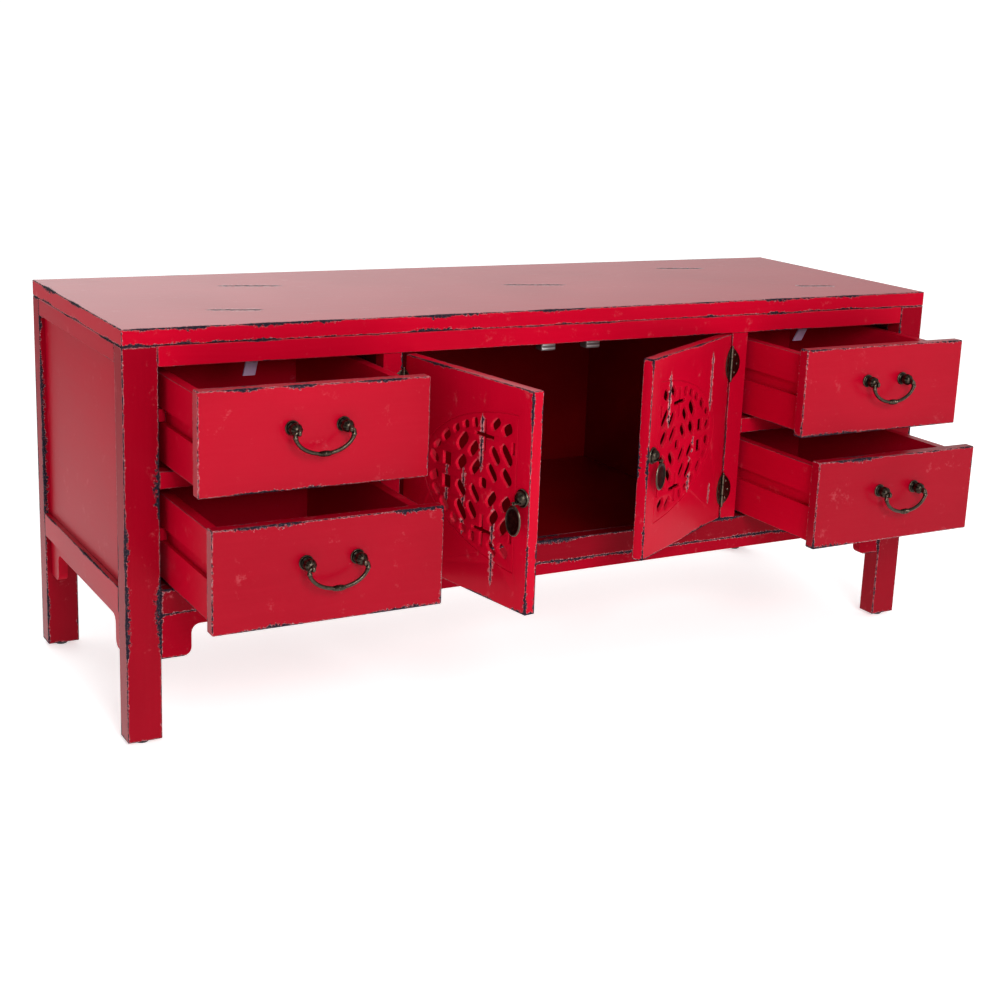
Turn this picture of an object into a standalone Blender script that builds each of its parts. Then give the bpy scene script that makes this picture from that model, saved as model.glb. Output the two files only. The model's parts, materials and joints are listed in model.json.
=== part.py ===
"""A low lacquered cabinet on four legs: four drawers, two fretwork doors and aged bronze fittings.

Metres, +Z up, X along the width, the front facing -Y. The drawers stand pulled out and the doors ajar.
The case, each drawer and each door hang on an empty of their own. Pieces are modelled in the closed
position, with y = 0 at the cabinet's front face, and the empties carry them to where they stand.
"""

import math

import bmesh
import bpy
from mathutils import Matrix, Vector

# Overall sizes
WIDTH = 1.300
DEPTH = 0.428
HEIGHT = 0.545

# Case
GLIDE_HEIGHT = 0.006
GLIDE_RADIUS = 0.010
GLIDE_ROUND = 0.0036
TOP_THICKNESS = 0.022
LEG_WIDTH = 0.0452
LEG_DEPTH = 0.032
TOP_RAIL_HEIGHT = 0.0265
SIDE_TOP_RAIL_HEIGHT = 0.024
RAIL_THICKNESS = 0.022
BOTTOM_RAIL_TOP = 0.208
BOTTOM_RAIL_HEIGHT = 0.033
PANEL_THICKNESS = 0.010
PANEL_RECESS = 0.0075
BACK_THICKNESS = 0.009
BACK_RECESS = 0.005
FLOOR_THICKNESS = 0.012
STILE_WIDTH = 0.0278
STILE_THICKNESS = 0.024
PARTITION_THICKNESS = 0.016
PARTITION_SETBACK = 0.001
BAY_WIDTH = 0.3042
DRAWER_RAIL_HEIGHT = 0.0225

# Carved aprons under the bottom rails
APRON_HEIGHT = 0.018
APRON_THICKNESS = 0.016
APRON_RECESS = 0.0015
BRACKET_WIDTH = 0.040
BRACKET_DROP = 0.042
BRACKET_ROUND = 0.011
BRACKET_COVE = 0.012

# Drawers
REVEAL = 0.0010
REVEAL_ABOVE = 0.0028
REVEAL_BELOW = 0.0008
DRAWER_FRONT_THICKNESS = 0.018
DRAWER_FRONT_EASE = 0.0014
DRAWER_SIDE_INSET = 0.010
DRAWER_TOP_DROP = 0.011
DRAWER_BOTTOM_LIFT = 0.005
DRAWER_SIDE_THICKNESS = 0.014
DRAWER_BACK_THICKNESS = 0.012
DRAWER_FLOOR_THICKNESS = 0.006
DRAWER_BACK_CLEARANCE = 0.020
RUNNER_HEIGHT = 0.016
RUNNER_GRIP = 0.006
RUNNER_CLEARANCE = 0.0015
RUNNER_SETBACK = 0.0235
PACKER_SHORT = 0.002
UPPER_PULL = 0.141
LOWER_PULL = 0.188

# Bail handles
POST_SPACING = 0.067
POST_BELOW_TOP = 0.0515
POST_BASE_RADIUS = 0.0095
POST_BASE_THICKNESS = 0.0022
POST_NECK_RADIUS = 0.0059
POST_NECK_LENGTH = 0.0006
POST_BALL_RADIUS = 0.0084
POST_BALL_REACH = 0.0120
KNUCKLE_REACH = 0.0223
KNUCKLE_DROP = 0.0015
KNUCKLE_RADIUS = 0.0045
KNUCKLE_WIDTH = 0.0045
BAIL_ROD_RADIUS = 0.0021
BAIL_END_INSIDE = 0.0009
BAIL_END_GAP = 0.0006
BAIL_STRAIGHT = 0.0020
BAIL_BEAD_HALF = 0.0058
BAIL_BEAD_STEP = 0.0014
BAIL_BEND = 0.0032
BAIL_DROP = 0.0285
PIVOT_CLEARANCE = 0.00035

# Doors
DOOR_REVEAL = 0.0015
DOOR_THICKNESS = 0.016
LEFT_DOOR_ANGLE = math.radians(81.3)
RIGHT_DOOR_ANGLE = math.radians(30.6)
MOTIF_FROM_FREE_EDGE = 0.352
MOTIF_ABOVE_MIDDLE = 0.023

# Hinges
HINGE_HEIGHT = 0.050
HINGE_LEAF_WIDTH = 0.0165
HINGE_LEAF_THICKNESS = 0.0012
HINGE_FROM_DOOR_END = 0.045
HINGE_KNUCKLE_RADIUS = 0.0024
HINGE_PIN_RADIUS = 0.0011
HINGE_LEAF_BEHIND_KNUCKLE = 0.00025
HINGE_PIN_PAST = 0.0010

# Door pulls
KNOB_RADIUS = 0.012
KNOB_HEIGHT = 0.0105
KNOB_FROM_EDGE = 0.0127
KNOB_RIM_THICKNESS = 0.0012
KNOB_RIM_WIDTH = 0.0010
KNOB_DOME_STARTS = 0.0016
PENDANT_WIDTH = 0.030
PENDANT_HEIGHT = 0.040
PENDANT_THICKNESS = 0.0016
PENDANT_BAR_BELOW = 0.005
PENDANT_BAR_REACH = 0.0140
PENDANT_BAR_RADIUS = 0.0011
PENDANT_BAR_LENGTH = 0.0080
PENDANT_CHEEK_THICKNESS = 0.0020
PENDANT_CHEEK_HALF_HEIGHT = 0.0012
PENDANT_CHEEK_DEPTH_IN_KNOB = 0.0040
PENDANT_TOP_BELOW_BAR = 0.0021
PENDANT_EYE_RADIUS = 0.0026
PENDANT_EYE_WIDTH = 0.0030

# Magnetic catches behind the doors
CATCH_WIDTH = 0.031
CATCH_HEIGHT = 0.013
CATCH_DEPTH = 0.018
CATCH_FROM_CENTRE = 0.037

# Gap left between pieces that touch, the small rounding of sawn edges, how far glued solids run into
# each other, and how far a cutter goes past what it cuts
TOUCH = 0.0003
EASE = 0.0009
BITE = 0.001
CUT_PAST = 0.010

SIDES = (("left", -1), ("right", 1))

# Sizes worked out from those above
LEG_TOP = HEIGHT - TOP_THICKNESS
OPENING_TOP = LEG_TOP - TOP_RAIL_HEIGHT
OPENING_BOTTOM = BOTTOM_RAIL_TOP
APRON_TOP = BOTTOM_RAIL_TOP - BOTTOM_RAIL_HEIGHT
DRAWER_OPENING = (OPENING_TOP - OPENING_BOTTOM - DRAWER_RAIL_HEIGHT) / 2
BAY_OUTER = WIDTH / 2 - LEG_WIDTH
BAY_INNER = BAY_OUTER - BAY_WIDTH
CENTRE_HALF = BAY_INNER - STILE_WIDTH
BACK_FACE = DEPTH - BACK_RECESS - BACK_THICKNESS
DRAWER_WIDTH = BAY_WIDTH - 2 * REVEAL
DRAWER_HEIGHT = DRAWER_OPENING - REVEAL_ABOVE - REVEAL_BELOW
DRAWER_BACK = BACK_FACE - DRAWER_BACK_CLEARANCE
DOOR_WIDTH = CENTRE_HALF - 1.5 * DOOR_REVEAL
DOOR_HEIGHT = OPENING_TOP - OPENING_BOTTOM - 2 * DOOR_REVEAL
DOOR_MIDDLE = (OPENING_TOP + OPENING_BOTTOM) / 2
PIN_FORWARD = TOUCH + HINGE_LEAF_BEHIND_KNUCKLE + HINGE_KNUCKLE_RADIUS


def forward_reach():
    """How far the open left door stands out in front of the hinge pin, at its corner or at its pull."""
    edge = DOOR_REVEAL / 2 + DOOR_WIDTH
    pull_edge = edge - KNOB_FROM_EDGE + PENDANT_WIDTH / 2
    pull_out = PENDANT_BAR_REACH + PENDANT_THICKNESS / 2 - PIN_FORWARD + TOUCH
    sine = math.sin(LEFT_DOOR_ANGLE)
    cosine = math.cos(LEFT_DOOR_ANGLE)
    return max(edge * sine - PIN_FORWARD * cosine, pull_edge * sine + pull_out * cosine)


CASE_FRONT = (PIN_FORWARD + forward_reach() - DEPTH) / 2


def clear_scene():
    for old in list(bpy.data.objects):
        bpy.data.objects.remove(old, do_unlink=True)


def new_collection(name, hidden=False):
    group = bpy.data.collections.new(name)
    bpy.context.scene.collection.children.link(group)
    group.hide_render = hidden
    return group


clear_scene()
CABINET = new_collection("cabinet")
CUTTERS = new_collection("cutters", hidden=True)


def new_material(name, colour, roughness, metallic):
    made = bpy.data.materials.new(name)
    made.use_nodes = True
    surface = made.node_tree.nodes["Principled BSDF"]
    surface.inputs["Base Color"].default_value = (*colour, 1.0)
    surface.inputs["Roughness"].default_value = roughness
    surface.inputs["Metallic"].default_value = metallic
    return made


# Colour, roughness and metallic value of each finish
RED_LACQUER = ((0.62, 0.015, 0.05), 0.35, 0.0)
DARK_LACQUER = ((0.20, 0.008, 0.015), 0.45, 0.0)
AGED_BRONZE = ((0.11, 0.085, 0.065), 0.40, 1.0)
ZINC_PLATE = ((0.62, 0.62, 0.63), 0.35, 1.0)
BLACK_PLASTIC = ((0.03, 0.03, 0.03), 0.50, 0.0)


def new_empty(name, place, parent=None, turn=0.0):
    made = bpy.data.objects.new(name, None)
    CABINET.objects.link(made)
    made.parent = parent
    made.location = place
    made.rotation_euler = (0.0, 0.0, turn)
    return made


def finish(piece, look, parent):
    """Gives a piece its own material and hangs it on its empty."""
    piece.data.materials.clear()
    piece.data.materials.append(new_material(piece.name, *look))
    piece.parent = parent
    return piece


def put_in(piece, collection):
    for group in list(piece.users_collection):
        group.objects.unlink(piece)
    collection.objects.link(piece)


def bake_scale(piece):
    piece.data.transform(Matrix.Diagonal((*piece.scale, 1.0)))
    piece.scale = (1.0, 1.0, 1.0)


def block(name, low, high, ease=EASE):
    """A box between two corners, with its sharp edges taken off."""
    low = Vector(low)
    high = Vector(high)
    bpy.ops.mesh.primitive_cube_add(size=1.0, location=(low + high) / 2)
    piece = bpy.context.object
    piece.name = name
    piece.scale = high - low
    bake_scale(piece)
    if ease:
        rounding = piece.modifiers.new("eased edges", "BEVEL")
        rounding.width = ease
        rounding.segments = 1
    put_in(piece, CABINET)
    return piece


def cylinder(name, centre, radius, length, along, sides=16):
    """A cylinder about its centre, lying along X, Y or Z."""
    turns = {"X": (0.0, math.pi / 2, 0.0), "Y": (math.pi / 2, 0.0, 0.0), "Z": (0.0, 0.0, 0.0)}
    bpy.ops.mesh.primitive_cylinder_add(vertices=sides, radius=radius, depth=length, location=centre,
                                        rotation=turns[along])
    piece = bpy.context.object
    piece.name = name
    put_in(piece, CABINET)
    return piece


def outline_curve(name, outlines, thickness):
    """A flat plate in the XZ plane, centred on y = 0; outlines after the first are holes in it."""
    curve = bpy.data.curves.new(name, "CURVE")
    curve.dimensions = "2D"
    curve.fill_mode = "BOTH"
    curve.extrude = thickness / 2
    for outline in outlines:
        spline = curve.splines.new("POLY")
        spline.points.add(len(outline) - 1)
        for point, (x, z) in zip(spline.points, outline):
            point.co = (x, z, 0.0, 1.0)
        spline.use_cyclic_u = True
    piece = bpy.data.objects.new(name, curve)
    CABINET.objects.link(piece)
    piece.rotation_euler = (math.pi / 2, 0.0, 0.0)
    return piece


def plate(name, outlines, thickness, centre, turn=0.0):
    """The same plate as a mesh, ready for a Boolean: turned about Z, with its middle at centre."""
    pattern = outline_curve(name + "_pattern", outlines, thickness)
    bpy.context.view_layer.update()
    mesh = bpy.data.meshes.new_from_object(pattern.evaluated_get(bpy.context.evaluated_depsgraph_get()))
    bpy.data.objects.remove(pattern, do_unlink=True)
    mesh.transform(Matrix.Rotation(turn, 4, "Z") @ Matrix.Rotation(math.pi / 2, 4, "X"))
    shape = bmesh.new()
    shape.from_mesh(mesh)
    bmesh.ops.remove_doubles(shape, verts=shape.verts, dist=1e-6)
    shape.to_mesh(mesh)
    shape.free()
    piece = bpy.data.objects.new(name, mesh)
    CABINET.objects.link(piece)
    piece.location = centre
    return piece


def combine(piece, others, operation):
    """Joins the others to a piece, or cuts them out of it."""
    for other in others:
        step = piece.modifiers.new(operation.lower() + " " + other.name, "BOOLEAN")
        step.operation = operation
        step.solver = "EXACT"
        step.object = other
        other.display_type = "WIRE"
        other.hide_render = True
        put_in(other, CUTTERS)
        other.parent = piece.parent
    return piece


def arc(centre, radius, start, end, steps):
    """Points along a circular arc, angles in degrees, both ends included."""
    points = []
    for step in range(steps + 1):
        angle = math.radians(start + (end - start) * step / steps)
        points.append((centre[0] + radius * math.cos(angle), centre[1] + radius * math.sin(angle)))
    return points


def turned(name, profile, place, steps):
    """A turned solid about Z. The profile runs from the top of the axis to the bottom of the axis."""
    mesh = bpy.data.meshes.new(name)
    shape = bmesh.new()
    verts = [shape.verts.new((radius, 0.0, height)) for radius, height in profile]
    for above, below in zip(verts, verts[1:]):
        shape.edges.new((above, below))
    shape.to_mesh(mesh)
    shape.free()
    piece = bpy.data.objects.new(name, mesh)
    CABINET.objects.link(piece)
    piece.location = place
    lathe = piece.modifiers.new("lathe", "SCREW")
    lathe.steps = steps
    lathe.render_steps = steps
    lathe.use_merge_vertices = True
    lathe.merge_threshold = 0.00001
    return piece


def two_sided(side, near, far):
    """Lowest and highest x of a span given by its distances from the cabinet's middle."""
    return min(side * near, side * far), max(side * near, side * far)


# ---------------------------------------------------------------- case

def apron_outline(length, band=0.0):
    """A long board with a bracket at each end: round lower corner, upright, cove, then the long edge.

    The origin is the middle of its top edge. band is how far the board goes on above it.
    """
    half = length / 2
    inner = half - BRACKET_WIDTH
    right = [(half, band), (half, -APRON_HEIGHT - BRACKET_DROP)]
    round_centre = (inner + BRACKET_ROUND, -APRON_HEIGHT - BRACKET_DROP + BRACKET_ROUND)
    right += arc(round_centre, BRACKET_ROUND, 270, 180, 5)
    cove_centre = (inner - BRACKET_COVE, -APRON_HEIGHT - BRACKET_COVE)
    right += arc(cove_centre, BRACKET_COVE, 0, 90, 5)
    left = [(-x, z) for x, z in reversed(right)]
    return right + left


def make_legs(case):
    front = (0.0, LEG_DEPTH)
    back = (DEPTH - LEG_DEPTH, DEPTH)
    for end, (near, far) in (("front", front), ("back", back)):
        for word, side in SIDES:
            x_low, x_high = two_sided(side, BAY_OUTER, WIDTH / 2)
            leg = block(f"leg_{end}_{word}", (x_low, near, GLIDE_HEIGHT), (x_high, far, LEG_TOP - TOUCH))
            finish(leg, RED_LACQUER, case)
            dome = arc((GLIDE_RADIUS - GLIDE_ROUND, GLIDE_ROUND), GLIDE_ROUND, 0, -90, 3)
            glide_top = GLIDE_HEIGHT - TOUCH
            profile = [(0.0, glide_top), (GLIDE_RADIUS, glide_top)] + dome + [(0.0, 0.0)]
            middle = ((x_low + x_high) / 2, (near + far) / 2, 0.0)
            finish(turned(f"glide_{end}_{word}", profile, middle, 14), BLACK_PLASTIC, case)


def make_front_frame(case):
    half = BAY_OUTER - TOUCH
    rail = block("front_top_rail", (-half, 0.0, OPENING_TOP), (half, RAIL_THICKNESS, LEG_TOP - TOUCH))
    finish(rail, RED_LACQUER, case)
    rail = block("front_bottom_rail", (-half, 0.0, APRON_TOP), (half, RAIL_THICKNESS, OPENING_BOTTOM))
    finish(rail, RED_LACQUER, case)
    middle_y = APRON_RECESS + APRON_THICKNESS / 2
    apron = plate("front_apron", [apron_outline(2 * half)], APRON_THICKNESS,
                  (0.0, middle_y, APRON_TOP - TOUCH))
    finish(apron, RED_LACQUER, case)
    for word, side in SIDES:
        x_low, x_high = two_sided(side, BAY_INNER + TOUCH, BAY_OUTER - TOUCH)
        low = OPENING_BOTTOM + DRAWER_OPENING
        rail = block(f"drawer_rail_{word}", (x_low, 0.0, low),
                     (x_high, RAIL_THICKNESS, low + DRAWER_RAIL_HEIGHT))
        finish(rail, RED_LACQUER, case)


def runner_levels():
    """Heights of the middle of each drawer's runners: lower, then upper."""
    first = OPENING_BOTTOM + DRAWER_OPENING / 2
    return first, first + DRAWER_OPENING + DRAWER_RAIL_HEIGHT


RUNNER_STAND = REVEAL + DRAWER_SIDE_INSET + RUNNER_GRIP - RUNNER_CLEARANCE / 2


def runners(name, side, wall, into_bay, packed_from=None):
    """Two runner strips that stand out from a wall into a drawer bay, with their packing behind."""
    made = []
    for level in runner_levels():
        low = level - RUNNER_HEIGHT / 2
        x_low, x_high = two_sided(side, wall, wall + into_bay * RUNNER_STAND)
        made.append(block(f"{name}_runner", (x_low, RUNNER_SETBACK, low),
                          (x_high, BACK_FACE - TOUCH, low + RUNNER_HEIGHT), ease=0))
        if packed_from is not None:
            x_low, x_high = two_sided(side, packed_from, wall + into_bay * BITE)
            made.append(block(f"{name}_packer", (x_low, LEG_DEPTH + TOUCH, low + PACKER_SHORT),
                              (x_high, DEPTH - LEG_DEPTH - TOUCH, low + RUNNER_HEIGHT - PACKER_SHORT), ease=0))
    return made


def make_side(case, word, side):
    near = LEG_DEPTH + TOUCH
    far = DEPTH - LEG_DEPTH - TOUCH
    face = WIDTH / 2
    x_low, x_high = two_sided(side, face - RAIL_THICKNESS, face)
    top_low = LEG_TOP - SIDE_TOP_RAIL_HEIGHT
    rail = block(f"side_top_rail_{word}", (x_low, near, top_low), (x_high, far, LEG_TOP - TOUCH))
    finish(rail, RED_LACQUER, case)

    rail = block(f"side_bottom_rail_{word}", (x_low, near, APRON_TOP), (x_high, far, OPENING_BOTTOM), ease=0)
    finish(rail, RED_LACQUER, case)
    apron_x = side * (face - PANEL_RECESS - APRON_THICKNESS / 2 + APRON_RECESS)
    apron = plate(f"side_apron_{word}", [apron_outline(far - near, band=BOTTOM_RAIL_HEIGHT / 2)],
                  APRON_THICKNESS - 2 * APRON_RECESS, (apron_x, (near + far) / 2, APRON_TOP), math.pi / 2)
    combine(rail, [apron], "UNION")

    outer = face - PANEL_RECESS
    x_low, x_high = two_sided(side, outer - PANEL_THICKNESS, outer)
    panel = block(f"side_panel_{word}", (x_low, near, OPENING_BOTTOM + TOUCH),
                  (x_high, far, top_low - TOUCH), ease=0)
    finish(panel, RED_LACQUER, case)
    strips = runners(f"side_{word}", side, BAY_OUTER - TOUCH, -1, outer - PANEL_THICKNESS / 2)
    combine(panel, strips, "UNION")


def make_partition(case, word, side):
    """A front stile with the board behind it that parts the drawers from the middle."""
    x_low, x_high = two_sided(side, CENTRE_HALF, BAY_INNER)
    stile = block(f"partition_{word}", (x_low, 0.0, OPENING_BOTTOM + TOUCH),
                  (x_high, STILE_THICKNESS, OPENING_TOP - TOUCH), ease=0)
    finish(stile, RED_LACQUER, case)
    bay_face = BAY_INNER - PARTITION_SETBACK
    x_low, x_high = two_sided(side, bay_face - PARTITION_THICKNESS, bay_face)
    board = block(f"partition_board_{word}", (x_low, RAIL_THICKNESS + TOUCH, OPENING_BOTTOM + 2 * TOUCH),
                  (x_high, BACK_FACE - TOUCH, LEG_TOP - TOUCH), ease=0)
    strips = runners(f"partition_{word}", side, bay_face - BITE, 1)
    combine(stile, [board] + strips, "UNION")


def make_boards(case):
    half = WIDTH / 2
    top = block("top_board", (-half, 0.0, LEG_TOP), (half, DEPTH, HEIGHT))
    finish(top, RED_LACQUER, case)
    side_x = BAY_OUTER - TOUCH
    back = block("back_panel", (-side_x, BACK_FACE, APRON_TOP),
                 (side_x, BACK_FACE + BACK_THICKNESS, LEG_TOP - TOUCH), ease=0)
    finish(back, DARK_LACQUER, case)
    floor = block("bottom_board", (-side_x, RAIL_THICKNESS + TOUCH, OPENING_BOTTOM - FLOOR_THICKNESS),
                  (side_x, BACK_FACE - TOUCH, OPENING_BOTTOM), ease=0)
    finish(floor, DARK_LACQUER, case)


def make_catches(case):
    for word, side in SIDES:
        middle = side * CATCH_FROM_CENTRE
        low = (middle - CATCH_WIDTH / 2, DOOR_THICKNESS + 2 * TOUCH, OPENING_TOP - CATCH_HEIGHT)
        high = (middle + CATCH_WIDTH / 2, DOOR_THICKNESS + 2 * TOUCH + CATCH_DEPTH, OPENING_TOP - TOUCH)
        finish(block(f"door_catch_{word}", low, high), ZINC_PLATE, case)


# ---------------------------------------------------------------- drawers

def handle_post(name, x, z, parent):
    """A base, a neck and a ball, with a pierced knuckle in front that holds one end of the bail."""
    ball = arc((0.0, POST_BALL_REACH), POST_BALL_RADIUS, 60, -45, 5)
    profile = [(0.0, POST_BALL_REACH + POST_BALL_RADIUS)] + ball
    profile += [(POST_NECK_RADIUS, ball[-1][1] - POST_NECK_LENGTH), (POST_BASE_RADIUS, POST_BASE_THICKNESS)]
    profile += [(POST_BASE_RADIUS, TOUCH), (0.0, TOUCH)]
    post = turned(name, profile, (x, 0.0, z), 14)
    post.rotation_euler = (math.pi / 2, 0.0, 0.0)
    finish(post, AGED_BRONZE, parent)
    centre = (x, -KNUCKLE_REACH, z - KNUCKLE_DROP)
    knuckle = cylinder(name + "_knuckle", centre, KNUCKLE_RADIUS, KNUCKLE_WIDTH, "X", 14)
    hole = cylinder(name + "_hole", centre, BAIL_ROD_RADIUS + PIVOT_CLEARANCE, 3 * KNUCKLE_WIDTH, "X", 12)
    combine(post, [knuckle], "UNION")
    combine(post, [hole], "DIFFERENCE")


def bail_path():
    """The bent rod seen from the front: from one knuckle, out and down, across and back up to the other.

    Each point has the rod's thickness there, as a multiple of BAIL_ROD_RADIUS: thinner in the
    knuckles, with three beads at the middle.
    """
    wide = POST_SPACING / 2 + KNUCKLE_WIDTH / 2 + BAIL_END_GAP + BAIL_ROD_RADIUS
    points = [(POST_SPACING / 2 - BAIL_END_INSIDE, 0.0, 0.85), (wide - BAIL_BEND, 0.0, 0.85)]
    for x, z in arc((wide - BAIL_BEND, -BAIL_BEND), BAIL_BEND, 60, 0, 2):
        points.append((x, z, 0.95))
    bow_top = -BAIL_BEND - BAIL_STRAIGHT
    low = KNUCKLE_DROP - BAIL_DROP
    for step in range(1, 9):
        angle = math.pi / 2 * step / 9
        points.append((wide * math.cos(angle), bow_top + (low - bow_top) * math.sin(angle), 1.0))
    for step, thick in enumerate((1.05, 1.5, 1.2, 1.7)):
        points.append((BAIL_BEAD_HALF - step * BAIL_BEAD_STEP, low, thick))
    return points + [(-x, z, thick) for x, z, thick in reversed(points)]


def make_bail(name, place, parent):
    pivot = new_empty(name + "_pivot", place, parent)
    curve = bpy.data.curves.new(name, "CURVE")
    curve.dimensions = "3D"
    curve.bevel_depth = BAIL_ROD_RADIUS
    curve.bevel_resolution = 2
    curve.use_fill_caps = True
    spline = curve.splines.new("POLY")
    path = bail_path()
    spline.points.add(len(path) - 1)
    for point, (x, z, thick) in zip(spline.points, path):
        point.co = (x, 0.0, z, 1.0)
        point.radius = thick
    piece = bpy.data.objects.new(name, curve)
    CABINET.objects.link(piece)
    finish(piece, AGED_BRONZE, pivot)


def make_drawer(level, low, pull, word, side):
    name = f"{level}_{word}"
    slide = new_empty(f"drawer_slide_{name}", (0.0, CASE_FRONT - pull, 0.0))
    middle = side * (BAY_INNER + BAY_OUTER) / 2
    half = DRAWER_WIDTH / 2
    low = low + REVEAL_BELOW
    top = low + DRAWER_HEIGHT
    front = block(f"drawer_front_{name}", (middle - half, 0.0, low),
                  (middle + half, DRAWER_FRONT_THICKNESS, top), DRAWER_FRONT_EASE)
    finish(front, RED_LACQUER, slide)

    half -= DRAWER_SIDE_INSET
    box_front = DRAWER_FRONT_THICKNESS + TOUCH
    box_low = low + DRAWER_BOTTOM_LIFT
    box = block(f"drawer_box_{name}", (middle - half, box_front, box_low),
                (middle + half, DRAWER_BACK, top - DRAWER_TOP_DROP), ease=0)
    finish(box, DARK_LACQUER, slide)
    room = half - DRAWER_SIDE_THICKNESS
    hollow = block(f"hollow_{name}", (middle - room, box_front - CUT_PAST, box_low + DRAWER_FLOOR_THICKNESS),
                   (middle + room, DRAWER_BACK - DRAWER_BACK_THICKNESS, top + CUT_PAST), ease=0)
    cuts = [hollow]
    groove = RUNNER_HEIGHT / 2 + RUNNER_CLEARANCE
    runner = low - REVEAL_BELOW + DRAWER_OPENING / 2
    for edge in (-1, 1):
        x_low, x_high = sorted((middle + edge * (half - RUNNER_GRIP), middle + edge * (half + CUT_PAST)))
        cuts.append(block(f"groove_{name}", (x_low, box_front - CUT_PAST, runner - groove),
                          (x_high, DRAWER_BACK + CUT_PAST, runner + groove), ease=0))
    combine(box, cuts, "DIFFERENCE")

    height = top - POST_BELOW_TOP
    for post_word, edge in SIDES:
        handle_post(f"handle_post_{name}_{post_word}", middle + edge * POST_SPACING / 2, height, slide)
    make_bail(f"bail_{name}", (middle, -KNUCKLE_REACH, height - KNUCKLE_DROP), slide)


# ---------------------------------------------------------------- doors

FACET_SPREAD = 1.06


def oval(x, z, length, width, tilt=0.0, points=8):
    """A rounded lozenge about (x, z); tilt in degrees turns its long way.

    Its corners stand out by FACET_SPREAD, so that with few sides it is as large as the oval.
    """
    cosine = math.cos(math.radians(tilt))
    sine = math.sin(math.radians(tilt))
    outline = []
    for step in range(points):
        angle = 2 * math.pi * (step + 0.5) / points
        along = length / 2 * math.cos(angle) * FACET_SPREAD
        across = width / 2 * math.sin(angle) * FACET_SPREAD
        outline.append((x + along * cosine - across * sine, z + along * sine + across * cosine))
    return outline


def rectangle(x, z, width, height):
    return [(x - width / 2, z - height / 2), (x + width / 2, z - height / 2),
            (x + width / 2, z + height / 2), (x - width / 2, z + height / 2)]


def cross(x, z, arm, thick):
    """A plus sign with arms of equal length."""
    corner = [(arm, thick), (thick, thick), (thick, arm), (-thick, arm), (-thick, thick), (-arm, thick)]
    return [(x + a, z + b) for a, b in corner] + [(x - a, z - b) for a, b in corner]


def ring_piece(inner, outer, bar_low, bar_high, start, end):
    """Part of a ring between two spokes: each bar is the spoke's half width, the angles are the spokes'."""
    out_low = start + math.degrees(math.asin(bar_low / outer))
    out_high = end - math.degrees(math.asin(bar_high / outer))
    in_low = start + math.degrees(math.asin(bar_low / inner))
    in_high = end - math.degrees(math.asin(bar_high / inner))
    return arc((0, 0), outer, out_low, out_high, 4) + arc((0, 0), inner, in_high, in_low, 3)


def fret_holes():
    """The holes of the fretwork, in thousandths of the door's size, about the middle of its small ring.

    x runs towards the hinge. The pattern is the same above and below the middle.
    """
    holes = [oval(0, 0, 44, 42, points=12)]
    for quarter in range(4):
        holes.append(ring_piece(52, 112, 17, 17, quarter * 90, quarter * 90 + 90))
        holes.append(ring_piece(136, 186, 22, 20, quarter * 90, quarter * 90 + 45))
        holes.append(ring_piece(136, 186, 20, 22, quarter * 90 + 45, quarter * 90 + 90))
        tilt = quarter * 90 - 45
        turn = math.radians(quarter * 90 + 45)
        holes.append(oval(232 * math.cos(turn), 232 * math.sin(turn), 92, 48, tilt))
    upper = [
        cross(0, 218, 70, 7),
        oval(66, 276, 46, 38, 80),
        oval(130, 258, 44, 34, -20),
        oval(196, 240, 48, 34, -35),
        oval(292, 166, 62, 38, -40),
        oval(366, 110, 56, 26, -30),
        oval(-78, 284, 64, 34, -38),
        oval(-160, 276, 66, 46, -20),
        rectangle(-216, 190, 16, 56),
        rectangle(278, 56, 54, 58),
        oval(374, 46, 58, 38, 30),
    ]
    for hole in upper:
        holes.append(hole)
        holes.append([(x, -z) for x, z in hole])
    return holes


def door_outlines(side):
    """The door's edge and its fretwork, measured from the middle of the door's height at the hinge pin."""
    near = DOOR_REVEAL / 2
    far = near + DOOR_WIDTH
    half = DOOR_HEIGHT / 2
    outlines = [[(near, -half), (far, -half), (far, half), (near, half)]]
    across = DOOR_WIDTH / 1000
    up = DOOR_HEIGHT / 1000
    for hole in fret_holes():
        middle = far - MOTIF_FROM_FREE_EDGE * DOOR_WIDTH
        outlines.append([(middle - x * across, MOTIF_ABOVE_MIDDLE * DOOR_HEIGHT + z * up) for x, z in hole])
    return [[(-side * x, z) for x, z in outline] for outline in outlines]


def hinge_levels():
    half = DOOR_HEIGHT / 2
    return ("top", half - HINGE_FROM_DOOR_END), ("bottom", HINGE_FROM_DOOR_END - half)


def leaf_outline(towards):
    """Half of a pointed oval, with its straight edge on the pin."""
    half = HINGE_HEIGHT / 2
    wide = HINGE_LEAF_WIDTH
    radius = (half * half + wide * wide) / (2 * wide)
    reach = math.degrees(math.asin(half / radius))
    points = arc((wide - radius, 0.0), radius, -reach, reach, 8)
    inner = [(max(x, TOUCH), z) for x, z in points[1:-1]]
    ends = [(TOUCH, -half), *inner, (TOUCH, half)]
    return [(towards * x, z) for x, z in ends]


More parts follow.
